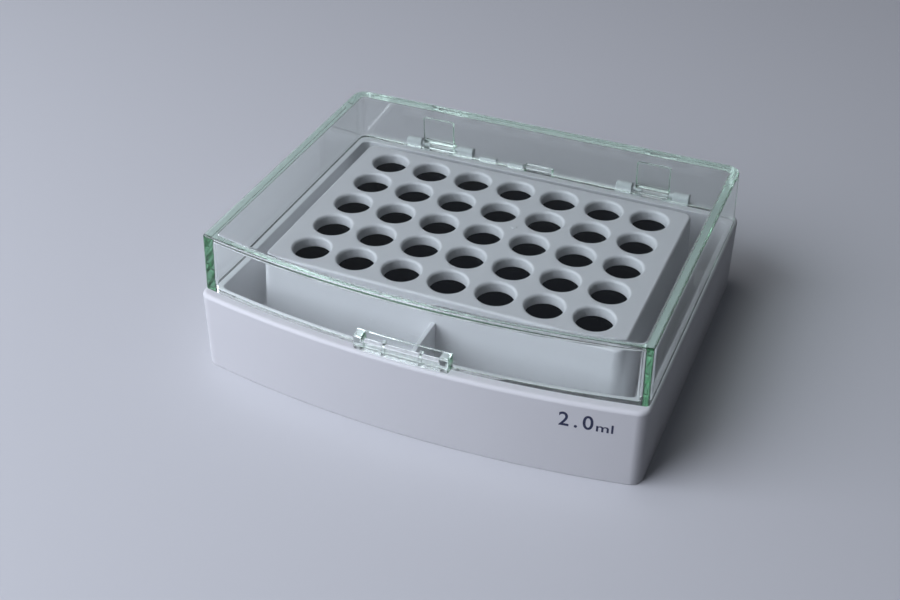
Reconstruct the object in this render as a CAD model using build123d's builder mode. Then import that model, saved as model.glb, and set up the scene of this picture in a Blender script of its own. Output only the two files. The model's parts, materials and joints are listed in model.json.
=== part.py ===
"""Microcentrifuge tube rack: a bow-fronted base with a raised plate of tube holes, and a hinged clear lid.

Millimetres. X runs along the front from left to right, Y from front to back, Z up.
The origin is on the bench, under the middle of the whole object.
"""
from build123d import *
import os

os.makedirs("parts", exist_ok=True)

# ---- tube holes and the raised plate that carries them
hole_columns = 7
hole_rows = 5
pitch_x = 15.0
pitch_y = 14.0
hole_radius = 5.7
hole_edge_round = 0.9
plate_margin_x = 11.6            # from the outer hole centres to the plate's edge
plate_margin_y = 9.1
plate_height = 31.2              # bench to the top of the plate
plate_thickness = 3.6
plate_corner = 3.0
plate_edge_round = 0.8
plate_draft = 3.0                # degrees, on the walls below the plate
gate_mark_radius = 0.8           # the scar of the moulding gate, between four holes
gate_mark_height = 0.15

# ---- channel round the plate, and the rim outside it
rim_height = 26.1
channel_floor = 5.8
channel_side = 7.4               # plate edge to rim, at the two sides
channel_front = 10.5             # the same at the front corners; the bow adds to it in the middle
channel_back = 9.6
inner_rim = 1.6                  # flat top of the rim inside the lid's foot
front_bow = 6.85                 # how far the middle of the front stands out from its corners
wall = 2.0
floor_thickness = 2.0
rim_thickness = 2.2
rim_round = 1.2
inner_rim_round = 0.4
web_thickness = 1.4              # stiffening webs across the channel, front and back
web_below_rim = 1.3

# ---- ledge outside the lid's foot
ledge_side = 0.7
ledge_front = 2.7
ear_clearance = 0.3              # between the lid's back wall and the hinge ears on the back ledge

# ---- corners seen from above
base_front_corner = 4.0
base_back_corner = 6.0
channel_corner = 2.5
lid_front_corner = 1.5
lid_back_corner = 5.0

# ---- lid
lid_gap = 0.3                    # between the lid's foot and the rim
lid_height = 18.8
lid_wall = 2.8
lid_top = 2.3
lid_draft = 2.2                  # degrees
lid_edge_round = 0.7
lid_inner_corner = 2.4           # inside the two front corners, so the wall is thicker there

# ---- hinges: pins moulded on the base's ears, knuckles moulded on the lid
hinge_spacing = 76.6             # between the two hinges
hinge_offset = 1.5               # the pair stands this far right of the middle
knuckle_length = 11.1
ear_gap = 14.0                   # between the two ears of one hinge
ear_length = 5.4
ear_radius = 1.6
hinge_above_rim = 1.3
pin_radius = 0.8
pin_clearance = 0.06
pin_engagement = 2.0
knuckle_clearance = 0.25
pad_height = 12.0                # the thickened pad on the lid's back wall over each knuckle
pad_thickness = 1.2
ramp_height = 6.6

# ---- low lugs on the back ledge (centre, length), and the clear tab beside them on the lid
lug_places = ((-18.6, 6.2), (-8.3, 5.6))
lug_height = 1.2
back_tab_length = 10.0
back_tab_depth = 2.0
back_tab_height = 1.6

# ---- finger catch on the lid's front
catch_length = 29.0
catch_bar = 2.1
catch_bar_height = 4.0
catch_slot = 1.1
catch_end = 3.0
catch_end_height = 5.2
catch_divider = 0.9
catch_middle_slot = 10.3
catch_lift = 0.6                 # above the lid's foot
catch_lip = 0.35                 # thickened band of wall behind the slots
catch_corner = 1.0
catch_edge_round = 0.8

# ---- places worked out from the sizes above
plate_half_x = (hole_columns - 1) / 2 * pitch_x + plate_margin_x
plate_half_y = (hole_rows - 1) / 2 * pitch_y + plate_margin_y
foot_width = inner_rim + lid_wall
ledge_back = ear_clearance + 2 * ear_radius
web_height = rim_height - web_below_rim
catch_reach = catch_slot + catch_bar
depth = channel_front + channel_back + 2 * (plate_half_y + foot_width) + ledge_back + front_bow + catch_reach
back_y = depth / 2
plate_y = back_y - ledge_back - foot_width - channel_back - plate_half_y
plate_underside = plate_height - plate_thickness

channel_half_x = plate_half_x + channel_side
channel_corner_y = plate_y - plate_half_y - channel_front
channel_back_y = plate_y + plate_half_y + channel_back

lid_half_x = channel_half_x + foot_width
lid_corner_y = channel_corner_y - foot_width
lid_back_y = channel_back_y + foot_width
lid_foot = rim_height + lid_gap

base_half_x = lid_half_x + ledge_side
base_corner_y = lid_corner_y - ledge_front

hinge_y = back_y - ear_radius
hinge_z = rim_height + hinge_above_rim
hinge_centres = (hinge_offset - hinge_spacing / 2, hinge_offset + hinge_spacing / 2)
catch_foot = lid_foot + catch_lift


def bow_front(inset_x, half_x, corner_y, top_y, front_corner, back_corner, mode=Mode.ADD):
    """A rectangle with a bowed front, drawn inset_x inside the given half width, front and back."""
    with BuildSketch(Plane.XY, mode=Mode.PRIVATE) as profile:
        left = -half_x + inset_x
        right = half_x - inset_x
        front = corner_y + inset_x
        back = top_y - inset_x
        with BuildLine():
            ThreePointArc((left, front), (0, front - front_bow), (right, front))
            Polyline((right, front), (right, back), (left, back), (left, front))
        make_face()
        fillet(profile.vertices().group_by(Axis.Y)[-1], back_corner)
        fillet(profile.vertices().group_by(Axis.Y)[0], front_corner)
    add(profile.sketch, mode=mode)


def base_outline(inset=0.0, mode=Mode.ADD):
    bow_front(inset, base_half_x, base_corner_y, back_y, base_front_corner - inset, base_back_corner - inset, mode)


def lid_outline(inset=0.0, mode=Mode.ADD):
    bow_front(inset, lid_half_x, lid_corner_y, lid_back_y, lid_front_corner - inset, lid_back_corner - inset, mode)


def channel_outline(outset=0.0, mode=Mode.ADD):
    corner = channel_corner + outset
    bow_front(-outset, channel_half_x, channel_corner_y, channel_back_y, corner, corner, mode)


# ---- base: one moulding, a thin shell that is open underneath
with BuildPart() as rack_base:
    with BuildSketch(Plane.XY):
        base_outline()
    extrude(amount=rim_height)
    fillet(rack_base.edges().group_by(Axis.Z)[-1], rim_round)

    with BuildSketch(Plane.XY.offset(channel_floor)):
        channel_outline()
    extrude(amount=rim_height - channel_floor, mode=Mode.SUBTRACT)
    fillet(rack_base.edges().group_by(Axis.Z)[-1].filter_by(
        lambda edge: edge.center().Y < back_y - ledge_back
        and abs(edge.center().X) < channel_half_x + inner_rim / 2
        and edge.center().Y > lid_corner_y + lid_wall + inner_rim / 2 - front_bow), inner_rim_round)

    with BuildSketch(Plane.XY.offset(plate_height)):
        with Locations((0, plate_y)):
            RectangleRounded(2 * plate_half_x, 2 * plate_half_y, plate_corner)
    extrude(amount=-plate_height, taper=-plate_draft)
    fillet(rack_base.edges().group_by(Axis.Z)[-1], plate_edge_round)

    # webs across the front and back channels, on the middle line
    web_front = channel_corner_y - front_bow - inner_rim / 2
    web_back = channel_back_y + inner_rim / 2
    with BuildSketch(Plane.XY.offset(channel_floor)):
        with Locations((0, (web_front + web_back) / 2)):
            Rectangle(web_thickness, web_back - web_front)
    extrude(amount=web_height - channel_floor)

    # underside: below the channel floor, between skirt and channel wall, and below the plate
    with BuildSketch(Plane.XY):
        base_outline(inset=wall)
    extrude(amount=channel_floor - floor_thickness, mode=Mode.SUBTRACT)
    with BuildSketch(Plane.XY):
        base_outline(inset=wall)
        channel_outline(outset=wall, mode=Mode.SUBTRACT)
    extrude(amount=rim_height - rim_thickness, mode=Mode.SUBTRACT)
    with BuildSketch(Plane.XY.offset(plate_underside)):
        with Locations((0, plate_y)):
            RectangleRounded(2 * (plate_half_x - wall), 2 * (plate_half_y - wall), plate_corner - wall)
    extrude(amount=-plate_underside, taper=-plate_draft, mode=Mode.SUBTRACT)

    # tube holes, softly rounded at the top
    with BuildSketch(Plane.XY.offset(plate_height)):
        with Locations((0, plate_y)):
            with GridLocations(pitch_x, pitch_y, hole_columns, hole_rows):
                Circle(hole_radius)
    extrude(amount=-plate_thickness, mode=Mode.SUBTRACT)
    plate_circles = rack_base.edges().filter_by(GeomType.CIRCLE).group_by(Axis.Z)[-1]
    fillet(plate_circles.filter_by(lambda edge: abs(edge.radius - hole_radius) < 0.01), hole_edge_round)

    with BuildSketch(Plane.XY.offset(plate_height)):
        with Locations((pitch_x / 2, plate_y + pitch_y / 2)):
            Circle(gate_mark_radius)
    extrude(amount=gate_mark_height)

    # hinge ears on the back ledge, a hollow under each knuckle, and the pins between the ears
    for centre in hinge_centres:
        with BuildSketch(Plane.YZ.offset(centre - ear_gap / 2)):
            with Locations((hinge_y, hinge_z)):
                Circle(ear_radius + knuckle_clearance)
        extrude(amount=ear_gap, mode=Mode.SUBTRACT)
        for side in (-1, 1):
            inner_face = centre + side * ear_gap / 2
            with BuildSketch(Plane.YZ.offset(inner_face)):
                with Locations((hinge_y, hinge_z)):
                    Circle(ear_radius)
                root = hinge_above_rim + rim_round
                with Locations((hinge_y, hinge_z - root / 2)):
                    Rectangle(2 * ear_radius, root)
            extrude(amount=side * ear_length)
            pin_length = (ear_gap - knuckle_length) / 2 + pin_engagement
            with BuildSketch(Plane.YZ.offset(inner_face)):
                with Locations((hinge_y, hinge_z)):
                    Circle(pin_radius)
            extrude(amount=-side * pin_length)

    for lug_x, lug_length in lug_places:
        with BuildSketch(Plane.XY.offset(rim_height)):
            with Locations((lug_x, (lid_back_y + lid_gap + back_y - rim_round) / 2)):
                Rectangle(lug_length, ledge_back - lid_gap - rim_round)
        extrude(amount=lug_height)

rack_base.part.label = "rack_base"
export_step(rack_base.part, "parts/rack_base.step")

# ---- lid: one clear moulding with its knuckles and finger catch
with BuildPart() as lid:
    with BuildSketch(Plane.XY.offset(lid_foot)):
        lid_outline()
    extrude(amount=lid_height, taper=lid_draft)
    fillet(lid.edges().group_by(Axis.Z)[-1], lid_edge_round)

    # pads and knuckles on the back wall: the knuckle is carried by a ramp that grows out of the pad
    mid_wall = lid_back_y - lid_wall / 2
    pad_top = lid_foot + pad_height
    ramp_top = lid_foot + ramp_height
    for centre in hinge_centres:
        with BuildSketch(Plane.YZ.offset(centre - knuckle_length / 2)):
            with BuildLine():
                Polyline(
                    (mid_wall, lid_foot),
                    (hinge_y, lid_foot),
                    (hinge_y, hinge_z + ear_radius),
                    (lid_back_y + pad_thickness / 2, ramp_top),
                    (lid_back_y + pad_thickness / 2, pad_top),
                    (mid_wall, pad_top),
                    (mid_wall, lid_foot),
                )
            make_face()
            with Locations((hinge_y, hinge_z)):
                Circle(ear_radius)
                Circle(pin_radius + pin_clearance, mode=Mode.SUBTRACT)
        extrude(amount=knuckle_length)

    with BuildSketch(Plane.XY.offset(lid_foot)):
        with Locations((0, (mid_wall + lid_back_y + back_tab_depth) / 2)):
            Rectangle(back_tab_length, lid_back_y + back_tab_depth - mid_wall)
    extrude(amount=back_tab_height)

    # finger catch: a bar that follows the bow, held by two end blocks and two dividers
    slot_length = (catch_length - catch_middle_slot) / 2 - catch_end - catch_divider
    slot_x = (catch_middle_slot + slot_length) / 2 + catch_divider
    with BuildSketch(Plane.XY.offset(catch_foot)):
        with Locations((0, lid_corner_y - front_bow)):
            Rectangle(catch_length, 2 * front_bow)
        lid_outline(inset=-catch_reach, mode=Mode.INTERSECT)
        lid_outline(inset=lid_wall / 2, mode=Mode.SUBTRACT)
    extrude(amount=catch_bar_height)
    with BuildSketch(Plane.XY.offset(catch_foot)):
        with Locations((0, lid_corner_y - front_bow)):
            with GridLocations(catch_length - catch_end, 0, 2, 1):
                Rectangle(catch_end, 2 * front_bow)
        lid_outline(inset=-catch_reach, mode=Mode.INTERSECT)
        lid_outline(inset=lid_wall / 2, mode=Mode.SUBTRACT)
    extrude(amount=catch_end_height)
    with BuildSketch(Plane.XY.offset(catch_foot)):
        with Locations((0, lid_corner_y - front_bow)):
            Rectangle(catch_length, 2 * front_bow)
        lid_outline(inset=-catch_lip, mode=Mode.INTERSECT)
        lid_outline(inset=lid_wall / 2, mode=Mode.SUBTRACT)
    extrude(amount=catch_end_height)
    with BuildSketch(Plane.XY.offset(catch_foot)):
        with Locations((0, lid_corner_y - front_bow)):
            Rectangle(catch_middle_slot, 2 * front_bow)
            with GridLocations(2 * slot_x, 0, 2, 1):
                Rectangle(slot_length, 2 * front_bow)
        lid_outline(inset=-catch_slot, mode=Mode.INTERSECT)
        lid_outline(inset=-catch_lip, mode=Mode.SUBTRACT)
    extrude(amount=catch_end_height, mode=Mode.SUBTRACT)
    catch_front = lid_corner_y - front_bow - catch_reach
    outer_edges = lid.edges().filter_by(Axis.Z).filter_by(lambda edge: edge.center().Y < catch_front + catch_bar / 2)
    fillet(outer_edges, catch_corner)
    foot_edges = lid.edges().filter_by(
        lambda edge: edge.center().Y < catch_front + catch_bar / 2 and edge.center().Z < catch_foot + 0.01)
    fillet(foot_edges, catch_edge_round)
    bar_edges = lid.edges().filter_by(
        lambda edge: edge.center().Y < catch_front + catch_bar / 2
        and abs(edge.center().Z - catch_foot - catch_bar_height) < 0.01)
    fillet(bar_edges, catch_edge_round)

    with BuildSketch(Plane.XY.offset(lid_foot)):
        bow_front(lid_wall, lid_half_x, lid_corner_y, lid_back_y, lid_inner_corner, lid_back_corner - lid_wall)
    extrude(amount=lid_height - lid_top, taper=lid_draft, mode=Mode.SUBTRACT)

lid.part.label = "lid"
export_step(lid.part, "parts/lid.step")
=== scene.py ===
# %% [markdown]
# # A tube rack with a clear hinged lid
#
# The real rack is two mouldings: an opaque base, thin and open underneath, and a clear lid
# that snaps on to two pins. The construction model already holds the exact sizes, so it is
# loaded first as a fixed frame, and everything below is placed from it.

# %% Load the frame
import json
import math

import bmesh
import bpy
import numpy as np
from mathutils import Matrix, Vector


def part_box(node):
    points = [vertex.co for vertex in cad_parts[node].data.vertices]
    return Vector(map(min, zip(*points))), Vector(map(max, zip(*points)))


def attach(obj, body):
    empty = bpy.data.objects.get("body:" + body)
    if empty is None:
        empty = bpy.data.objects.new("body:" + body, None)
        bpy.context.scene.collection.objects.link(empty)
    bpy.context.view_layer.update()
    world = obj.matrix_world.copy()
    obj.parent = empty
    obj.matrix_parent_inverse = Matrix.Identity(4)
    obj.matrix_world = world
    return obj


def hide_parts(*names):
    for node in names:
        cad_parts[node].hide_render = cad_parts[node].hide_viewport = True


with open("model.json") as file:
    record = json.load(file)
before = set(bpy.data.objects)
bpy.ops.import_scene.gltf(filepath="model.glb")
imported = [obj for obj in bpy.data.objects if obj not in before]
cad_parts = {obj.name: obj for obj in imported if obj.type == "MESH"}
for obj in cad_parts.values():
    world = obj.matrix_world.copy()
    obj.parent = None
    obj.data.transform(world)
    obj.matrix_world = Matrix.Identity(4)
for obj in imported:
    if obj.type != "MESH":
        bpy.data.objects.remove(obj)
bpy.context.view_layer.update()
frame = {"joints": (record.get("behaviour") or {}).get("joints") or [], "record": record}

MM = 0.001
record = frame["record"]
base_low, base_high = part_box("rack_base")
lid_low, lid_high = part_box("lid")
print("base, mm:", np.round(np.array([base_low, base_high]) / MM, 2).tolist())
print("lid, mm:", np.round(np.array([lid_low, lid_high]) / MM, 2).tolist())

# %% [markdown]
# ## Sizes
#
# The record names the holes and the hinge, so the grid, the hole size and the hinge line are
# read from it. The outer sizes come from the boxes of the two mouldings. What is left are the
# wall thicknesses and the roundings that a mould maker would put on a drawing.

# %% The tube holes and the hinge line, from the record
holes = {mount["name"]: mount for mount in record["mounts"] if mount["kind"] == "bore"}
middle_hole = holes["tube_hole_r3_c4"]
grid_centre = np.array(middle_hole["pos_m"][:2])
pitch_x = holes["tube_hole_r3_c5"]["pos_m"][0] - grid_centre[0]
pitch_y = holes["tube_hole_r4_c4"]["pos_m"][1] - grid_centre[1]
hole_radius = middle_hole["dims"]["r_mm"] * MM
hole_columns = 7
hole_rows = 5
hinge_y, hinge_z = frame["joints"][0]["pos_m"][1:]
hinge_half_spacing = 38.3 * MM
hinge_offset = 1.5 * MM
print("pitch, mm:", round(pitch_x / MM, 3), round(pitch_y / MM, 3))

# %% The base
front_bow = 6.85 * MM
rim_height = 26.1 * MM
wall = 2.0 * MM
base_half_x = base_high.x
base_back_y = base_high.y
base_corner_y = base_low.y + front_bow
base_front_corner = 4.0 * MM
base_back_corner = 6.0 * MM
rim_round = 1.2 * MM
channel_half_x = 64.0 * MM
channel_corner_y = -43.875 * MM
channel_back_y = 50.425 * MM
channel_corner = 2.5 * MM
channel_floor = 5.8 * MM
gate_mark_height = 0.15 * MM
plate_height = base_high.z - gate_mark_height
plate_thickness = 3.6 * MM
plate_half_x = 56.6 * MM
plate_half_y = 37.1 * MM
plate_corner = 3.0 * MM
plate_draft = math.tan(math.radians(3.0))

# %% The lid
lid_foot = 26.4 * MM
lid_top = lid_high.z
lid_wall = 2.8 * MM
lid_roof = 2.3 * MM
lid_draft = math.tan(math.radians(2.2))
lid_half_x = lid_high.x
lid_corner_y = -48.275 * MM
lid_back_y = 54.825 * MM
lid_front_corner = 1.5 * MM
lid_back_corner = 5.0 * MM
lid_inner_corner = 2.4 * MM

# %% [markdown]
# ## Rings: one outline, many heights
#
# Both mouldings have the same plan: a rectangle whose front bows out. Such a form could be
# drawn as a flat face and extruded, but then every rounding is a separate edit. Here each
# level of the form is one ring of points, and all rings have the same number of points, so a
# whole moulding is a stack of rings that is skinned in one go. Moving a ring in or out rounds
# an edge, and moving it up or down makes a wall.

# %% How finely a ring is cut
FRONT_STEPS = 100
SIDE_STEPS = 68
CORNER_STEPS = 12
RING = 2 * FRONT_STEPS + 2 * SIDE_STEPS + 4 * CORNER_STEPS
SHARPEST_CORNER = 0.15 * MM


def run(start, end, steps):
    """Points on a straight line: start + share * (end - start), with the end itself left out."""
    share = np.linspace(0.0, 1.0, steps + 1)[:-1, None]
    return np.array(start) + share * (np.array(end) - np.array(start))


def arc(centre, radius, start, end, steps):
    """Points on a circle: centre + radius * (sin a, -cos a), a running from straight ahead to the right."""
    angle = np.linspace(start, end, steps + 1)[:-1]
    return np.array(centre) + radius * np.stack([np.sin(angle), -np.cos(angle)], -1)


# %% The outline with a bowed front
def bowed_outline(half_x, front_y, back_y, bow, front_corner, back_corner):
    """A closed ring, anticlockwise from the middle of the front left corner.

    The front is an arc through both corners that stands out by bow, so its radius is
    (half_x^2 + bow^2) / (2 * bow). A corner of radius r touches that arc and the side, so its
    centre is r inside the side and (radius - r) from the middle of the arc."""
    front_corner = max(front_corner, SHARPEST_CORNER)
    back_corner = max(back_corner, SHARPEST_CORNER)
    inner_x = half_x - front_corner
    if bow > 0:
        radius = (half_x**2 + bow**2) / (2 * bow)
        middle_y = front_y - bow + radius
        corner_y = middle_y - math.sqrt((radius - front_corner) ** 2 - inner_x**2)
        tilt = math.asin(inner_x / (radius - front_corner))
        front = arc((0, middle_y), radius, -tilt, tilt, FRONT_STEPS)
    else:
        corner_y = front_y + front_corner
        tilt = 0.0
        front = run((-inner_x, front_y), (inner_x, front_y), FRONT_STEPS)
    quarter = math.pi / 2
    back_x = half_x - back_corner
    back_corner_y = back_y - back_corner
    ring = np.vstack([
        front,
        arc((inner_x, corner_y), front_corner, tilt, quarter, CORNER_STEPS),
        run((half_x, corner_y), (half_x, back_corner_y), SIDE_STEPS),
        arc((back_x, back_corner_y), back_corner, quarter, 2 * quarter, CORNER_STEPS),
        run((back_x, back_y), (-back_x, back_y), FRONT_STEPS),
        arc((-back_x, back_corner_y), back_corner, 2 * quarter, 3 * quarter, CORNER_STEPS),
        run((-half_x, back_corner_y), (-half_x, corner_y), SIDE_STEPS),
        arc((-inner_x, corner_y), front_corner, 3 * quarter, 4 * quarter - tilt, CORNER_STEPS),
    ])
    return np.roll(ring, CORNER_STEPS // 2, axis=0)


# %% The outlines of this object, each moved out by outset
def base_outline(outset):
    return bowed_outline(
        base_half_x + outset, base_corner_y - outset, base_back_y + outset,
        front_bow, base_front_corner + outset, base_back_corner + outset)


def channel_outline(outset):
    return bowed_outline(
        channel_half_x + outset, channel_corner_y - outset, channel_back_y + outset,
        front_bow, channel_corner + outset, channel_corner + outset)


def plate_outline(outset):
    ring = bowed_outline(
        plate_half_x + outset, -plate_half_y - outset, plate_half_y + outset,
        0.0, plate_corner + outset, plate_corner + outset)
    return ring + grid_centre


def lid_outline(outset):
    return bowed_outline(
        lid_half_x + outset, lid_corner_y - outset, lid_back_y + outset,
        front_bow, lid_front_corner + outset, lid_back_corner + outset)


def lid_inside(outset):
    """The lid's outline too, with front corners that are rounder, so the wall is thickest there."""
    return bowed_outline(
        lid_half_x + outset, lid_corner_y - outset, lid_back_y + outset,
        front_bow, lid_inner_corner + outset + lid_wall, lid_back_corner + outset)


# %% Profiles and skins
def rounding(outset, height, radius, start, end, steps=6):
    """Profile points (outset, height) on a circle, where 0 degrees points outwards and 90 points up."""
    angle = np.radians(np.linspace(start, end, steps + 1))
    return np.stack([outset + radius * np.cos(angle), height + radius * np.sin(angle)], -1)


def leaning(profile, draft, level):
    """Move each (outset, height) point in by the draft for its height above the level."""
    profile = profile.copy()
    profile[:, 0] -= (profile[:, 1] - level) * draft
    return profile


def rings(outline, profile):
    """One ring for each (outset, height) pair of the profile, as an array (pairs, points, 3)."""
    return np.stack([
        np.column_stack([outline(outset), np.full(RING, height)]) for outset, height in profile
    ])


def skin(stack):
    """Quads between neighbouring rings: point j and j + 1 of ring i with the same two of ring i + 1."""
    levels, count = stack.shape[:2]
    index = np.arange(levels * count).reshape(levels, count)
    beside = np.roll(index, -1, axis=1)
    return np.stack([index[:-1], beside[:-1], beside[1:], index[1:]], -1).reshape(-1, 4)


# %% From arrays to a Blender object
def new_piece(name, points, quads, caps=()):
    """Put an array of points, an array of quads and any many-sided caps into a mesh object."""
    mesh = bpy.data.meshes.new(name)
    mesh.from_pydata(points.tolist(), [], quads.tolist() + [list(map(int, cap)) for cap in caps])
    mesh.update(calc_edges=True)
    piece = bpy.data.objects.new(name, mesh)
    bpy.context.scene.collection.objects.link(piece)
    return piece


def capped_stack(name, stack):
    """A stack of rings closed by its first ring, turned over, and its last."""
    count = stack.shape[1]
    last = (stack.shape[0] - 1) * count
    caps = [np.arange(count)[::-1], np.arange(last, last + count)]
    return new_piece(name, stack.reshape(-1, 3), skin(stack), caps)


def measure(piece):
    """Print the faces, the open edges and the volume of a piece's mesh."""
    shape = bmesh.new()
    shape.from_mesh(piece.data)
    open_edges = sum(not edge.is_manifold for edge in shape.edges)
    volume = shape.calc_volume(signed=True) / MM**3 / 1000
    print(f"{piece.name}: {len(shape.faces)} faces, {open_edges} open edges, {volume:.2f} cm3")
    shape.free()


# %% [markdown]
# ## The base
#
# One skin runs all the way round the base: from the underside of the hole plate, down the
# inside, out under the channel, round the skirt's foot, up its bowed face, over the rim, down
# into the channel and up to the plate's top. Only the plate itself is left open, as a
# rectangle above and below, for the tube holes to fill.

# %% Roundings of the base
floor_underside = channel_floor - wall
flange_underside = 23.9 * MM
plate_underside = plate_height - plate_thickness
soft_edge = 0.3 * MM
inner_fillet = 0.4 * MM
channel_fillet = 0.9 * MM
inner_rim_round = 0.4 * MM
plate_edge_round = 0.8 * MM

# %% The stack of rings from the plate's underside to its top
inside_plate = rings(plate_outline, leaning(np.vstack([
    rounding(-wall - inner_fillet, plate_underside - inner_fillet, inner_fillet, 90, 0),
    rounding(-wall + soft_edge, floor_underside + soft_edge, soft_edge, 180, 270),
]), plate_draft, plate_underside))
under_channel = rings(channel_outline, np.vstack([
    rounding(wall - soft_edge, floor_underside + soft_edge, soft_edge, -90, 0),
    rounding(wall + inner_fillet, flange_underside - inner_fillet, inner_fillet, 180, 90),
]))
skirt = rings(base_outline, np.vstack([
    rounding(-wall - inner_fillet, flange_underside - inner_fillet, inner_fillet, 90, 0),
    rounding(-wall + soft_edge, soft_edge, soft_edge, 180, 270),
    rounding(-soft_edge, soft_edge, soft_edge, -90, 0),
    rounding(-rim_round, rim_height - rim_round, rim_round, 0, 90, steps=10),
]))
channel = rings(channel_outline, np.vstack([
    rounding(inner_rim_round, rim_height - inner_rim_round, inner_rim_round, 90, 180),
    rounding(-channel_fillet, channel_floor + channel_fillet, channel_fillet, 0, -90),
]))
plate_side = rings(plate_outline, leaning(np.vstack([
    rounding(channel_fillet, channel_floor + channel_fillet, channel_fillet, 270, 180),
    rounding(-plate_edge_round, plate_height - plate_edge_round, plate_edge_round, 0, 90, steps=10),
]), plate_draft, plate_height))
print("rings in the base:", sum(map(len, (inside_plate, under_channel, skirt, channel, plate_side))))

# %% [markdown]
# ## The hole plate
#
# A flat face cannot have holes in Blender's meshes, and cutting 35 cylinders out of a slab
# leaves ragged corners round each one. So the plate is tiled: each tile is a rectangle of one
# pitch with a round hole in it, and its rings go from the rectangle to the hole's rounded lip,
# down the wall and out to the rectangle again below.

# %% One tile, with the hole's profile of (radius, height)
TILE_SIDE_STEPS = 16
hole_lip = 0.9 * MM


def tile_border():
    """The tile's edge: four straight runs from the front left corner, anticlockwise."""
    x, y = pitch_x / 2, pitch_y / 2
    corners = [(-x, -y), (x, -y), (x, y), (-x, y), (-x, -y)]
    return np.vstack([run(a, b, TILE_SIDE_STEPS) for a, b in zip(corners[:-1], corners[1:])])


def tile_rings():
    """Border, then circles of the profile's radii that start at the same corner, then the border below."""
    profile = np.vstack([
        rounding(hole_radius + hole_lip, plate_height - hole_lip, hole_lip, 90, 180),
        rounding(hole_radius + soft_edge, plate_underside + soft_edge, soft_edge, 180, 270, steps=3),
    ])
    count = 4 * TILE_SIDE_STEPS
    circle = arc((0, 0), 1.0, -math.pi / 4, 7 * math.pi / 4, count)
    circles = np.stack([
        np.column_stack([circle * radius, np.full(count, height)]) for radius, height in profile
    ])
    border = tile_border()
    above = np.column_stack([border, np.full(count, plate_height)])
    below = np.column_stack([border, np.full(count, plate_underside)])
    return np.vstack([above[None], circles, below[None]])


# %% Thirty-five tiles, and the rectangle they fill
columns = (np.arange(hole_columns) - (hole_columns - 1) / 2) * pitch_x + grid_centre[0]
rows = (np.arange(hole_rows) - (hole_rows - 1) / 2) * pitch_y + grid_centre[1]
hole_centres = np.stack(np.meshgrid(columns, rows), -1).reshape(-1, 2)
one_tile = tile_rings()
shift = np.column_stack([hole_centres, np.zeros(len(hole_centres))])
tile_points = (one_tile[None] + shift[:, None, None, :]).reshape(-1, 3)
tile_quads = skin(one_tile)[None] + np.arange(len(hole_centres))[:, None, None] * one_tile[..., 0].size
tile_quads = tile_quads.reshape(-1, 4)


def grid_border(height):
    """The outer edge of all the tiles, cut into the same steps as their own borders."""
    x, y = hole_columns * pitch_x / 2, hole_rows * pitch_y / 2
    corners = np.array([(-x, -y), (x, -y), (x, y), (-x, y), (-x, -y)]) + grid_centre
    steps = [hole_columns * TILE_SIDE_STEPS, hole_rows * TILE_SIDE_STEPS] * 2
    border = np.vstack([run(a, b, n) for a, b, n in zip(corners[:-1], corners[1:], steps)])
    return np.column_stack([border, np.full(len(border), height)])[None]


print("holes:", len(hole_centres), "border points:", grid_border(0).shape[1], "ring points:", RING)

# %% Join the skin and the tiles
WELD_GRID = 0.0001 * MM


def weld(points, quads):
    """Merge points that fall on the same spot of a fine grid, and renumber the quads."""
    _, first, new_index = np.unique(
        np.round(points / WELD_GRID).astype(np.int64), axis=0, return_index=True, return_inverse=True)
    return points[first], new_index.reshape(-1)[quads]


base_stack = np.vstack([
    grid_border(plate_underside), inside_plate, under_channel, skirt, channel, plate_side,
    grid_border(plate_height),
])
stack_points = base_stack.reshape(-1, 3)
base_points, base_quads = weld(
    np.vstack([stack_points, tile_points]),
    np.vstack([skin(base_stack), tile_quads + len(stack_points)]))
base = new_piece("base", base_points, base_quads)
measure(base)

# %% [markdown]
# ## Adding features to a moulding
#
# Webs, hinge ears and the finger catch are small solids that grow out of a wall. Each one is
# a profile carried in a straight line, closed at both ends and softened by a Bevel modifier,
# because no moulded edge is truly sharp. A Boolean with the manifold solver then joins it to
# the moulding, so that the result is still one closed skin.

# %% A profile in Y and Z, carried along X
BEVEL_SEGMENTS = 3
BEVEL_OVER = math.radians(40)


def prism(name, profile, start, end, steps=1, bevel=0.0, bend=None):
    """Rings of the same (y, z) profile at even steps of x; bend(x) is added to y."""
    x = np.linspace(start, end, steps + 1)
    shift_y = bend(x) if bend else np.zeros_like(x)
    profile = np.asarray(profile)
    stack = np.empty((len(x), len(profile), 3))
    stack[..., 0] = x[:, None]
    stack[..., 1] = profile[:, 0] + shift_y[:, None]
    stack[..., 2] = profile[:, 1]
    piece = capped_stack(name, stack)
    if bevel:
        soften = piece.modifiers.new("soften", "BEVEL")
        soften.width = bevel
        soften.segments = BEVEL_SEGMENTS
        soften.limit_method = "ANGLE"
        soften.angle_limit = BEVEL_OVER
    return piece


def rectangle(low_y, high_y, low_z, high_z):
    return [(low_y, low_z), (high_y, low_z), (high_y, high_z), (low_y, high_z)]


def disc(centre_y, centre_z, radius, steps=32):
    """A full circle in Y and Z."""
    angle = np.linspace(0, 2 * math.pi, steps + 1)[:-1]
    return np.stack([centre_y + radius * np.cos(angle), centre_z + radius * np.sin(angle)], -1)


# %% Join and cut
def combine(piece, tool, operation):
    """Unite the tool with the piece, or cut it away, and keep the result as the piece's mesh."""
    step = piece.modifiers.new(operation, "BOOLEAN")
    step.operation = operation
    step.solver = "MANIFOLD"
    step.object = tool
    evaluated = piece.evaluated_get(bpy.context.evaluated_depsgraph_get())
    result = bpy.data.meshes.new_from_object(evaluated)
    piece.modifiers.clear()
    old = piece.data
    piece.data = result
    bpy.data.meshes.remove(old)
    bpy.data.objects.remove(tool)


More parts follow.
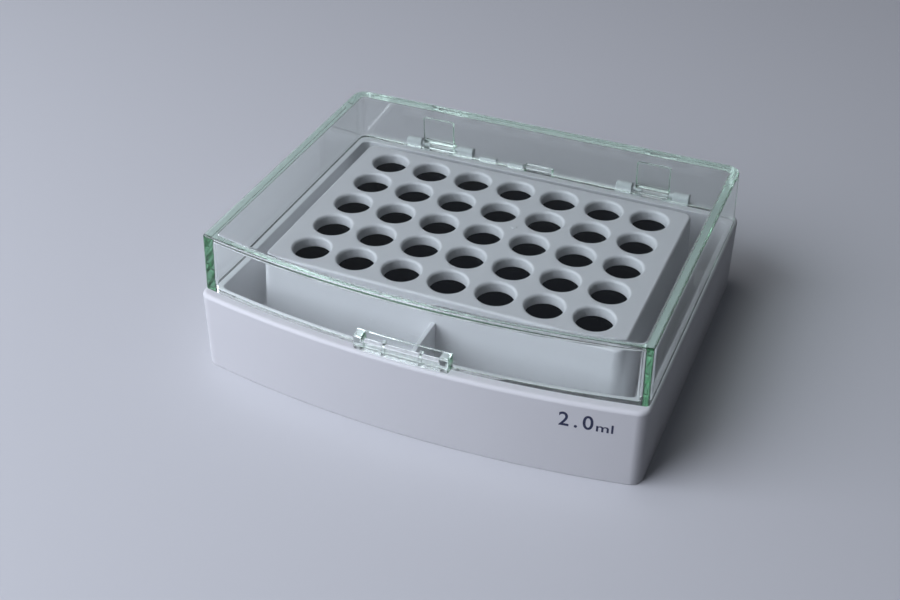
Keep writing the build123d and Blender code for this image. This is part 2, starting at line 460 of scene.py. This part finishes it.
# %% [markdown]
# ## Webs, lugs and the gate mark
#
# Two webs cross the channel on the middle line, one in front and one behind, and hold the
# plate's walls to the rim. Their lower edges are sunk into the floor and their ends into the
# walls, so that the join leaves no gap.

# %% Webs
web_half = 0.7 * MM
web_bevel = 0.25 * MM
web_top = 24.8 * MM
sunk = 0.8 * MM
web_spans = {
    "front_web": (channel_corner_y - front_bow - sunk, grid_centre[1] - plate_half_y + sunk),
    "back_web": (grid_centre[1] + plate_half_y - sunk, channel_back_y + sunk),
}
for name, (low_y, high_y) in web_spans.items():
    section = rectangle(low_y, high_y, channel_floor - sunk, web_top)
    web = prism(name, section, -web_half, web_half, bevel=web_bevel)
    combine(base, web, "UNION")

# %% Two low lugs on the back ledge
lug_height = 1.2 * MM
lug_clearance = 0.3 * MM
lug_bevel = 0.3 * MM
lug_places = ((-18.6 * MM, 6.2 * MM), (-8.3 * MM, 5.6 * MM))
lug_section = rectangle(
    lid_back_y + lug_clearance, base_back_y - rim_round, rim_height - sunk, rim_height + lug_height)
for centre, length in lug_places:
    lug = prism("lug", lug_section, centre - length / 2, centre + length / 2, bevel=lug_bevel)
    combine(base, lug, "UNION")

# %% The gate mark, a low disc between four holes
gate_radius = 0.8 * MM
GATE_STEPS = 32
gate_profile = np.vstack([
    [(gate_radius, plate_height - sunk)],
    rounding(gate_radius - gate_mark_height, plate_height, gate_mark_height, 0, 90, steps=4),
])
gate_centre = grid_centre + (pitch_x / 2, pitch_y / 2)
circle = arc((0, 0), 1.0, 0, 2 * math.pi, GATE_STEPS)
gate_stack = np.stack([
    np.column_stack([circle * radius + gate_centre, np.full(GATE_STEPS, height)])
    for radius, height in gate_profile
])
combine(base, capped_stack("gate_mark", gate_stack), "UNION")
measure(base)

# %% [markdown]
# ## The hinge on the base
#
# Each hinge is a pair of ears with a pin between them. A hollow under the pin lets the lid's
# knuckle turn, so it is cut first and the ears are added after it.

# %% Hollows, ears and pins
ear_radius = 1.6 * MM
ear_gap = 14.0 * MM
ear_length = 5.4 * MM
ear_root = 2.5 * MM
knuckle_length = 11.1 * MM
knuckle_clearance = 0.25 * MM
ear_bevel = 0.25 * MM
pin_radius = 0.8 * MM
pin_reach = 3.45 * MM
pin_bevel = 0.15 * MM


def arch(centre_y, centre_z, radius, root, steps=20):
    """A half circle on a straight-sided root, anticlockwise in Y and Z."""
    angle = np.linspace(0, math.pi, steps + 1)
    top = np.stack([centre_y + radius * np.cos(angle), centre_z + radius * np.sin(angle)], -1)
    foot = centre_z - root
    return np.vstack([[(centre_y - radius, foot), (centre_y + radius, foot)], top])


hinge_centres = (hinge_offset - hinge_half_spacing, hinge_offset + hinge_half_spacing)
for centre in hinge_centres:
    hollow = prism(
        "hollow", disc(hinge_y, hinge_z, ear_radius + knuckle_clearance, steps=48),
        centre - ear_gap / 2, centre + ear_gap / 2)
    combine(base, hollow, "DIFFERENCE")
    for side in (-1, 1):
        inner = centre + side * ear_gap / 2
        outer = inner + side * ear_length
        section = arch(hinge_y, hinge_z, ear_radius, ear_root)
        ear = prism("ear", section, *sorted((inner, outer)), bevel=ear_bevel)
        combine(base, ear, "UNION")
        tip = inner - side * pin_reach
        root = inner + side * ear_length / 2
        section = disc(hinge_y, hinge_z, pin_radius)
        pin = prism("pin", section, *sorted((tip, root)), bevel=pin_bevel)
        combine(base, pin, "UNION")
measure(base)

# %% [markdown]
# ## The lid
#
# The lid is one clear shell with 2.2 degrees of draft, so every ring moves in a little as it
# rises. The stack starts at the ceiling, comes down the inner wall, turns round the foot, goes
# up the outside and ends with the flat top. Light bends at each surface of clear plastic, so
# the shell needs its real thickness: a single sheet would look like a soap film.

# %% The shell
roof_under = lid_top - lid_roof
lid_edge_round = 0.7 * MM
lid_inner_fillet = 0.6 * MM
lid_foot_round = 0.25 * MM

lid_inner_rings = rings(lid_inside, leaning(np.vstack([
    rounding(-lid_wall - lid_inner_fillet, roof_under - lid_inner_fillet, lid_inner_fillet, 90, 0),
    rounding(-lid_wall + lid_foot_round, lid_foot + lid_foot_round, lid_foot_round, 180, 270, steps=4),
]), lid_draft, lid_foot))
lid_outer_rings = rings(lid_outline, leaning(np.vstack([
    rounding(-lid_foot_round, lid_foot + lid_foot_round, lid_foot_round, -90, 0, steps=4),
    rounding(-lid_edge_round, lid_top - lid_edge_round, lid_edge_round, 0, 90, steps=8),
]), lid_draft, lid_foot))
lid = capped_stack("lid_shell", np.vstack([lid_inner_rings, lid_outer_rings]))
measure(lid)

# %% [markdown]
# ## Knuckles, back tab and finger catch
#
# On the back wall two raised pads run down into knuckles, which the base's pins hold. On the
# front a bar follows the bow, held off the wall by two end blocks and two dividers. It is the
# grip that a finger lifts.

# %% Pads and knuckles
pad_top = lid_foot + 12.0 * MM
ramp_top = lid_foot + 6.6 * MM
pad_back = lid_back_y + 0.6 * MM
mid_wall = lid_back_y - lid_wall / 2
knuckle_steps = 28
knuckle_bevel = 0.45 * MM
bore_radius = pin_radius + 0.06 * MM
tab_half = 5.0 * MM
tab_reach = 2.0 * MM
tab_height = 1.6 * MM
tab_bevel = 0.3 * MM


def knuckle_profile():
    """Foot of the wall, round the knuckle, then up a ramp to the pad and back into the wall."""
    drop = hinge_z - lid_foot
    start = -math.pi + math.asin(drop / ear_radius)
    angle = np.linspace(start, math.pi / 2, knuckle_steps)
    barrel = np.stack([hinge_y + ear_radius * np.cos(angle), hinge_z + ear_radius * np.sin(angle)], -1)
    pad = [(pad_back, ramp_top), (pad_back, pad_top), (mid_wall, pad_top)]
    return np.vstack([[(mid_wall, lid_foot)], barrel, pad])


for centre in hinge_centres:
    low_x, high_x = centre - knuckle_length / 2, centre + knuckle_length / 2
    combine(lid, prism("knuckle", knuckle_profile(), low_x, high_x, bevel=knuckle_bevel), "UNION")
    bore = prism("bore", disc(hinge_y, hinge_z, bore_radius), low_x - wall, high_x + wall)
    combine(lid, bore, "DIFFERENCE")

tab_section = rectangle(mid_wall, lid_back_y + tab_reach, lid_foot, lid_foot + tab_height)
combine(lid, prism("back_tab", tab_section, -tab_half, tab_half, bevel=tab_bevel), "UNION")
measure(lid)

# %% The line of the bowed front
def front_line(half_x, corner_y):
    """A function of x: the y of the front arc, middle_y - sqrt(radius^2 - x^2)."""
    radius = (half_x**2 + front_bow**2) / (2 * front_bow)
    middle_y = corner_y - front_bow + radius
    return lambda x: middle_y - np.sqrt(radius**2 - np.asarray(x) ** 2)


lid_front = front_line(lid_half_x, lid_corner_y)
base_front = front_line(base_half_x, base_corner_y)

# %% The finger catch
catch_half = 14.5 * MM
catch_foot = lid_foot + 0.6 * MM
catch_bar_height = 4.0 * MM
catch_end_height = 5.2 * MM
catch_reach = 3.2 * MM
catch_slot = 1.1 * MM
catch_lip = 0.35 * MM
catch_lip_bevel = 0.15 * MM
catch_bar_bevel = 0.8 * MM
CATCH_STEPS = 20
divider_x = 5.6 * MM
divider_half = 0.45 * MM
divider_reach = 1.6 * MM
divider_bevel = 0.1 * MM
end_x = 13.0 * MM
end_half = 1.5 * MM


def catch_part(name, centre, half, near, far, height, bevel, steps=1):
    """A block between two distances out from the lid's front line, bent to follow it."""
    section = rectangle(-far, -near, catch_foot, catch_foot + height)
    return prism(name, section, centre - half, centre + half, steps=steps, bevel=bevel, bend=lid_front)


into_wall = -lid_wall / 2
catch_parts = [
    catch_part("catch_lip", 0, catch_half, into_wall, catch_lip, catch_end_height,
               catch_lip_bevel, steps=CATCH_STEPS),
    catch_part("catch_bar", 0, catch_half, catch_slot, catch_reach, catch_bar_height,
               catch_bar_bevel, steps=CATCH_STEPS),
]
for side in (-1, 1):
    catch_parts += [
        catch_part("catch_end", side * end_x, end_half, into_wall, catch_reach, catch_end_height,
                   catch_bar_bevel),
        catch_part("catch_divider", side * divider_x, divider_half, into_wall, divider_reach,
                   catch_bar_height, divider_bevel),
    ]
for part in catch_parts:
    combine(lid, part, "UNION")
measure(lid)

# %% [markdown]
# ## The capacity mark
#
# The front face says which tubes fit. It is printed ink, a film of a few hundredths of a
# millimetre. Blender's text object gives the letter shapes. They are made a mesh first, sized
# from their own measured box, and then each point is laid on the bowed face, so the film
# follows the curve.

# %% Text as a mesh on the bowed face
ink_proud = 0.03 * MM
ink_sunk = 0.05 * MM
LETTER_WEIGHT = 0.012
mark_foot = 17.7 * MM


def printed(name, words, left, right, height, spacing):
    """Stretch the words over a box on the front face; the film's front stands proud by ink_proud."""
    text = bpy.data.curves.new(name, "FONT")
    text.body = words
    text.space_character = spacing
    text.resolution_u = 8
    text.offset = LETTER_WEIGHT
    text.extrude = 0.5
    holder = bpy.data.objects.new(name, text)
    bpy.context.scene.collection.objects.link(holder)
    mesh = bpy.data.meshes.new_from_object(holder.evaluated_get(bpy.context.evaluated_depsgraph_get()))
    bpy.data.objects.remove(holder)
    flat = np.empty(len(mesh.vertices) * 3, np.float32)
    mesh.vertices.foreach_get("co", flat)
    flat = flat.reshape(-1, 3).astype(float)
    low, high = flat.min(0), flat.max(0)
    share = (flat - low) / (high - low)
    x = left + share[:, 0] * (right - left)
    z = mark_foot + share[:, 1] * height
    y = base_front(x) + ink_sunk - share[:, 2] * (ink_sunk + ink_proud)
    mesh.vertices.foreach_set("co", np.stack([x, y, z], -1).astype(np.float32).ravel())
    film = bmesh.new()
    film.from_mesh(mesh)
    bmesh.ops.remove_doubles(film, verts=film.verts, dist=WELD_GRID)
    bmesh.ops.recalc_face_normals(film, faces=film.faces)
    film.to_mesh(mesh)
    film.free()
    piece = bpy.data.objects.new(name, mesh)
    bpy.context.scene.collection.objects.link(piece)
    return piece


number_mark = printed("number_mark", "2.0", 45.6 * MM, 55.0 * MM, height=4.9 * MM, spacing=1.35)
unit_mark = printed("unit_mark", "ml", 55.8 * MM, 60.4 * MM, height=2.9 * MM, spacing=1.05)
measure(number_mark)
measure(unit_mark)

# %% [markdown]
# ## Smooth faces, crisp edges
#
# Smooth shading blends the light across the fine steps of each rounding. Edges sharper than
# 32 degrees stay crisp, and a Weighted Normal modifier lets the large flat faces keep their
# own direction, so the roundings look like roundings and not like dents in the wall.

# %% Shading
SHARP_OVER = math.radians(32)

for piece in (base, lid):
    mesh = piece.data
    mesh.polygons.foreach_set("use_smooth", np.ones(len(mesh.polygons), bool))
    mesh.set_sharp_from_angle(angle=SHARP_OVER)
    weighted = piece.modifiers.new("weighted", "WEIGHTED_NORMAL")
    weighted.keep_sharp = True

# %% [markdown]
# ## The moulded surface
#
# Every moulded plastic has a skin: a very fine grain from the steel, and faint cloudiness
# where the melt flowed. Both mouldings need it at different strengths, so it is one node
# group that gives a tone, a roughness and a height, placed in each material with its own
# values.

# %% Helpers for node trees
def add(tree, kind, **values):
    """A new node, with any of its inputs set by name."""
    node = tree.nodes.new(kind)
    for key, value in values.items():
        node.inputs[key.replace("_", " ")].default_value = value
    return node


def new_group(name, inputs, outputs):
    """A shader node group with named float sockets."""
    group = bpy.data.node_groups.new(name, "ShaderNodeTree")
    for key, value in inputs.items():
        socket = group.interface.new_socket(key, in_out="INPUT", socket_type="NodeSocketFloat")
        socket.default_value = value
    for key in outputs:
        group.interface.new_socket(key, in_out="OUTPUT", socket_type="NodeSocketFloat")
    return group, group.nodes.new("NodeGroupInput"), group.nodes.new("NodeGroupOutput")


def arithmetic(tree, operation, first, second):
    """A Math node of two values, each a socket or a number."""
    node = tree.nodes.new("ShaderNodeMath")
    node.operation = operation
    for socket, value in zip(node.inputs, (first, second)):
        if isinstance(value, (int, float)):
            socket.default_value = value
        else:
            tree.links.new(value, socket)
    return node.outputs[0]


def mixed(tree, factor, first, second):
    """A Mix Shader of two shaders' outputs."""
    choice = add(tree, "ShaderNodeMixShader")
    for value, socket in zip((factor, first, second), choice.inputs):
        tree.links.new(value, socket)
    return choice.outputs[0]


def place(tree, group, **values):
    """A group in a material, with its inputs set by name."""
    node = tree.nodes.new("ShaderNodeGroup")
    node.node_tree = group
    for key, value in values.items():
        node.inputs[key.replace("_", " ")].default_value = value
    return node


def new_material(name):
    material = bpy.data.materials.new(name)
    material.use_nodes = True
    tree = material.node_tree
    tree.nodes.clear()
    return material, tree, tree.nodes.new("ShaderNodeOutputMaterial")


# %% The moulded skin group
SKIN_INPUTS = {
    "Grain Scale": 4000.0,
    "Cloud Scale": 60.0,
    "Cloud Depth": 0.04,
    "Base Roughness": 0.45,
    "Roughness Range": 0.1,
}
skin_group, skin_in, skin_out = new_group("moulded_skin", SKIN_INPUTS, ("Tone", "Roughness", "Height"))
where = add(skin_group, "ShaderNodeTexCoord")
grain = add(skin_group, "ShaderNodeTexNoise", Detail=3.0, Roughness=0.6)
clouds = add(skin_group, "ShaderNodeTexNoise", Detail=4.0, Roughness=0.55)
for noise, scale in ((grain, "Grain Scale"), (clouds, "Cloud Scale")):
    skin_group.links.new(where.outputs["Object"], noise.inputs["Vector"])
    skin_group.links.new(skin_in.outputs[scale], noise.inputs["Scale"])
swing = arithmetic(skin_group, "SUBTRACT", clouds.outputs[0], 0.5)
swing = arithmetic(skin_group, "MULTIPLY", swing, skin_in.outputs["Cloud Depth"])
tone = arithmetic(skin_group, "ADD", swing, 1.0)
rough = arithmetic(skin_group, "SUBTRACT", grain.outputs[0], 0.5)
rough = arithmetic(skin_group, "MULTIPLY", rough, skin_in.outputs["Roughness Range"])
rough = arithmetic(skin_group, "ADD", rough, skin_in.outputs["Base Roughness"])
skin_group.links.new(tone, skin_out.inputs["Tone"])
skin_group.links.new(rough, skin_out.inputs["Roughness"])
skin_group.links.new(grain.outputs[0], skin_out.inputs["Height"])

# %% [markdown]
# ## White plastic
#
# The base is a fine matte off-white. A plain colour would look like paper, so the tone drifts
# by a few percent, and the grain bends the light a little.

# %% A colour under the moulded skin
def toned(name, colour, ior, **values):
    """A material whose colour drifts with the skin's tone; also its tree, shader and skin nodes."""
    material, tree, output = new_material(name)
    shader = add(tree, "ShaderNodeBsdfPrincipled", IOR=ior)
    surface = place(tree, skin_group, **values)
    product = add(tree, "ShaderNodeMix")
    product.data_type = "RGBA"
    product.blend_type = "MULTIPLY"
    product.inputs["Factor"].default_value = 1.0
    product.inputs[6].default_value = (*colour, 1.0)
    tree.links.new(surface.outputs["Tone"], product.inputs[7])
    tree.links.new(product.outputs[2], shader.inputs["Base Color"])
    tree.links.new(surface.outputs["Roughness"], shader.inputs["Roughness"])
    tree.links.new(shader.outputs[0], output.inputs["Surface"])
    return material, tree, shader, surface


# %% White plastic
white_plastic, tree, shader, surface = toned(
    "white_plastic", (0.73, 0.735, 0.75), 1.52, Grain_Scale=5200.0, Cloud_Scale=45.0, Cloud_Depth=0.05,
    Base_Roughness=0.56, Roughness_Range=0.12)
bump = add(tree, "ShaderNodeBump", Strength=0.12, Distance=0.05 * MM)
tree.links.new(surface.outputs["Height"], bump.inputs["Height"])
tree.links.new(bump.outputs["Normal"], shader.inputs["Normal"])

# %% [markdown]
# ## Clear plastic
#
# The lid is clear polystyrene: a refracting shader with a little absorption inside, so a thin
# wall is colourless and a long look along an edge turns green. Refracting walls would cast a
# black shadow in a path tracer, so for shadow rays and diffuse rays the lid is transparent.

# %% Clear plastic
clear_plastic, tree, output = new_material("clear_plastic")
shader = add(tree, "ShaderNodeBsdfPrincipled", IOR=1.58, Transmission_Weight=1.0)
shader.inputs["Base Color"].default_value = (1.0, 1.0, 1.0, 1.0)
surface = place(tree, skin_group, Grain_Scale=900.0, Cloud_Scale=35.0, Cloud_Depth=0.0,
                Base_Roughness=0.012, Roughness_Range=0.01)
tree.links.new(surface.outputs["Roughness"], shader.inputs["Roughness"])
rays = add(tree, "ShaderNodeLightPath")
passing = add(tree, "ShaderNodeBsdfTransparent")
passing.inputs["Color"].default_value = (0.96, 0.965, 0.965, 1.0)
result = shader.outputs[0]
for ray in ("Is Diffuse Ray", "Is Shadow Ray"):
    result = mixed(tree, rays.outputs[ray], result, passing.outputs[0])
tree.links.new(result, output.inputs["Surface"])
inside = add(tree, "ShaderNodeVolumeAbsorption", Density=12.0)
inside.inputs["Color"].default_value = (0.2, 0.82, 0.42, 1.0)
tree.links.new(inside.outputs[0], output.inputs["Volume"])

# %% [markdown]
# ## Printing ink
#
# Pad-printed ink is thin and a little uneven, so its tone drifts more than the plastic's.

# %% Printing ink
ink, *_ = toned(
    "ink", (0.02, 0.025, 0.07), 1.5, Grain_Scale=3000.0, Cloud_Scale=900.0, Cloud_Depth=0.6,
    Base_Roughness=0.5, Roughness_Range=0.15)

# %% Give each piece its finish, its body and its slot
for piece, material, body, slot in (
    (base, white_plastic, "base", "white_plastic"),
    (lid, clear_plastic, "lid", "clear_plastic"),
    (number_mark, ink, "base", "print"),
    (unit_mark, ink, "base", "print"),
):
    piece.data.materials.clear()
    piece.data.materials.append(material)
    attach(piece, body)
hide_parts("rack_base")
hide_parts("lid")

# %% [markdown]
# ## Stage
#
# The rack stands on a plain pale floor. A dark mat lies under it, inside the skirt, partly a
# dark cloth under the rack and partly painted shade. A dark liner rises from it into the hollow
# under the plate as painted shade on the hollow's walls. Only the tube holes show them.

# %% Floor and mat
FLOOR_RADIUS = 1.5
FLOOR_STEPS = 96
mat_height = 0.2 * MM
FADE_START, FADE_END = 0.4, 1.1
BACKDROP = (0.50, 0.52, 0.57, 1.0)


def seen_rays(tree):
    """1 for a ray that shows the background: from the camera, a reflection or through the lid."""
    rays = add(tree, "ShaderNodeLightPath")
    total = arithmetic(tree, "ADD", rays.outputs["Is Camera Ray"], rays.outputs["Is Glossy Ray"])
    return arithmetic(tree, "ADD", total, rays.outputs["Is Transmission Ray"])


def fading(tree, value, start, end):
    """0 where the value is at start, and 1 where it is at end."""
    fade = add(tree, "ShaderNodeMapRange")
    tree.links.new(value, fade.inputs["Value"])
    fade.inputs["From Min"].default_value = start
    fade.inputs["From Max"].default_value = end
    return fade.outputs["Result"]


def flat_face(name, ring, height, material):
    points = np.column_stack([ring, np.full(len(ring), height)])
    piece = new_piece(name, points, np.empty((0, 4), int), [np.arange(len(ring))])
    piece.data.materials.append(material)


def plain_material(name, colour, roughness, specular=0.5):
    material, tree, output = new_material(name)
    shader = add(tree, "ShaderNodeBsdfPrincipled", Roughness=roughness, Specular_IOR_Level=specular)
    shader.inputs["Base Color"].default_value = (*colour, 1.0)
    tree.links.new(shader.outputs[0], output.inputs["Surface"])
    return material


def pale_floor(seen, bounced):
    """A floor of the colour seen, which bounces less light than that and fades into the backdrop."""
    material = plain_material("floor", seen, 0.8)
    tree = material.node_tree
    output = tree.nodes["Material Output"]
    shade_side = add(tree, "ShaderNodeBsdfDiffuse")
    shade_side.inputs["Color"].default_value = (*bounced, 1.0)
    rays = add(tree, "ShaderNodeLightPath")
    near = mixed(tree, rays.outputs["Is Diffuse Ray"], tree.nodes["Principled BSDF"].outputs[0],
                 shade_side.outputs[0])
    distance = add(tree, "ShaderNodeVectorMath")
    distance.operation = "LENGTH"
    tree.links.new(add(tree, "ShaderNodeTexCoord").outputs["Object"], distance.inputs[0])
    far = fading(tree, distance.outputs["Value"], FADE_START, FADE_END)
    glow = add(tree, "ShaderNodeEmission", Color=BACKDROP)
    faded = mixed(tree, arithmetic(tree, "MULTIPLY", seen_rays(tree), far), near, glow.outputs[0])
    tree.links.new(faded, output.inputs["Surface"])
    return material


floor_ring = arc((0, 0), FLOOR_RADIUS, 0, 2 * math.pi, FLOOR_STEPS)
flat_face("floor", floor_ring, 0.0, pale_floor(seen=(0.62, 0.63, 0.65), bounced=(0.18, 0.18, 0.19)))
# Painted shade: a near-black mat under the rack, partly the dark cloth it stands on, partly the shade under
# it.
dark_cloth_and_shade = plain_material("mat", (0.004, 0.006, 0.012), roughness=1.0, specular=0.0)
flat_face("mat", base_outline(-wall - soft_edge), mat_height, dark_cloth_and_shade)

# %% A dark liner inside the hollow under the hole plate: painted shade
# Painted shade: a near-black liner up the walls of the hollow under the plate, so the walls seen through
# the holes stay dark.
liner_gap = 0.5 * MM
liner_outset = -wall - liner_gap
shade_liner_rings = rings(plate_outline, [(liner_outset, mat_height), (liner_outset, plate_underside - liner_gap)])
shade_liner = new_piece("shade_liner", shade_liner_rings.reshape(-1, 3), skin(shade_liner_rings))
shade_liner.data.materials.append(dark_cloth_and_shade)

# %% [markdown]
# ## Light
#
# One large softbox stands 45 degrees to the left of the front and 33 degrees above the floor.
# The bowed front is the brightest face, the plate is a little darker and the right side falls
# into shade. A weak one high on the left and the dim sky fill the rest.
#
# Low round the horizon the sky is a pale backdrop, and the far floor fades into it. The camera
# sees it, and so do reflections and what shows through the lid, but it lights nothing else.

# %% Softboxes and sky
BACKDROP_TOP, BACKDROP_FULL = 0.38, 0.15
aim = Vector((0, 0, 20 * MM))


def softbox(name, place_at, width, height, power, colour):
    lamp = bpy.data.lights.new(name, "AREA")
    lamp.shape = "RECTANGLE"
    lamp.size = width
    lamp.size_y = height
    lamp.energy = power
    lamp.color = colour
    holder = bpy.data.objects.new(name, lamp)
    bpy.context.scene.collection.objects.link(holder)
    holder.location = place_at
    holder.rotation_euler = (aim - Vector(place_at)).to_track_quat("-Z", "Y").to_euler()


def around(azimuth, elevation, distance):
    """A place from its angle left of straight ahead, its angle above the floor and its distance."""
    azimuth, elevation = math.radians(azimuth), math.radians(elevation)
    flat = distance * math.cos(elevation)
    return -flat * math.sin(azimuth), -flat * math.cos(azimuth), distance * math.sin(elevation)


softbox("key", around(45, 33, 0.95), width=0.9, height=0.8, power=10.4, colour=(0.92, 0.96, 1.10))
softbox("top", around(90, 75, 1.2), width=0.6, height=0.6, power=1.9, colour=(0.96, 0.98, 1.03))

world = bpy.data.worlds.new("sky")
bpy.context.scene.world = world
world.use_nodes = True
tree = world.node_tree
dim_sky = tree.nodes["Background"]
dim_sky.inputs["Color"].default_value = (0.80, 0.86, 1.0, 1.0)
dim_sky.inputs["Strength"].default_value = 0.07
backdrop = add(tree, "ShaderNodeBackground")
backdrop.inputs["Color"].default_value = BACKDROP
height = add(tree, "ShaderNodeSeparateXYZ")
tree.links.new(add(tree, "ShaderNodeTexCoord").outputs["Generated"], height.inputs[0])
low = fading(tree, height.outputs["Z"], BACKDROP_TOP, BACKDROP_FULL)
share = arithmetic(tree, "MULTIPLY", seen_rays(tree), low)
sky = mixed(tree, share, dim_sky.outputs[0], backdrop.outputs[0])
tree.links.new(sky, tree.nodes["World Output"].inputs["Surface"])

# %% [markdown]
# ## Camera
#
# The camera looks down on the front right corner. Its place is given the way a photographer
# would: an angle round the object, a height angle, a slight roll and a distance.

# %% Camera
azimuth = math.radians(22.88)
elevation = math.radians(35.99)
roll = math.radians(0.41)
distance = 392.76 * MM
look_at = Vector((0, grid_centre[1], 32.44 * MM))
aside, raised = -10.39 * MM, -20.49 * MM

backward = Vector((
    math.sin(azimuth) * math.cos(elevation),
    -math.cos(azimuth) * math.cos(elevation),
    math.sin(elevation)))
right = Vector((0, 0, 1)).cross(backward).normalized()
up = backward.cross(right)
rolled_right = math.cos(roll) * right + math.sin(roll) * up
rolled_up = math.cos(roll) * up - math.sin(roll) * right

camera_data = bpy.data.cameras.new("camera")
camera_data.sensor_width = 36.0
camera_data.lens = 50.757
camera = bpy.data.objects.new("camera", camera_data)
bpy.context.scene.collection.objects.link(camera)
camera.matrix_world = Matrix.Translation(
    look_at + backward * distance + rolled_right * aside + rolled_up * raised
) @ Matrix((rolled_right, rolled_up, backward)).transposed().to_4x4()
bpy.context.scene.camera = camera
print("camera, mm:", np.round(np.array(camera.matrix_world.translation) / MM, 1).tolist())

# %% Plain colour handling, and enough bounces for light that is caught inside the lid's edges
bpy.context.scene.view_settings.view_transform = "Standard"
paths = bpy.context.scene.cycles
paths.max_bounces = 32
paths.glossy_bounces = 24
paths.transmission_bounces = 24
paths.transparent_max_bounces = 32
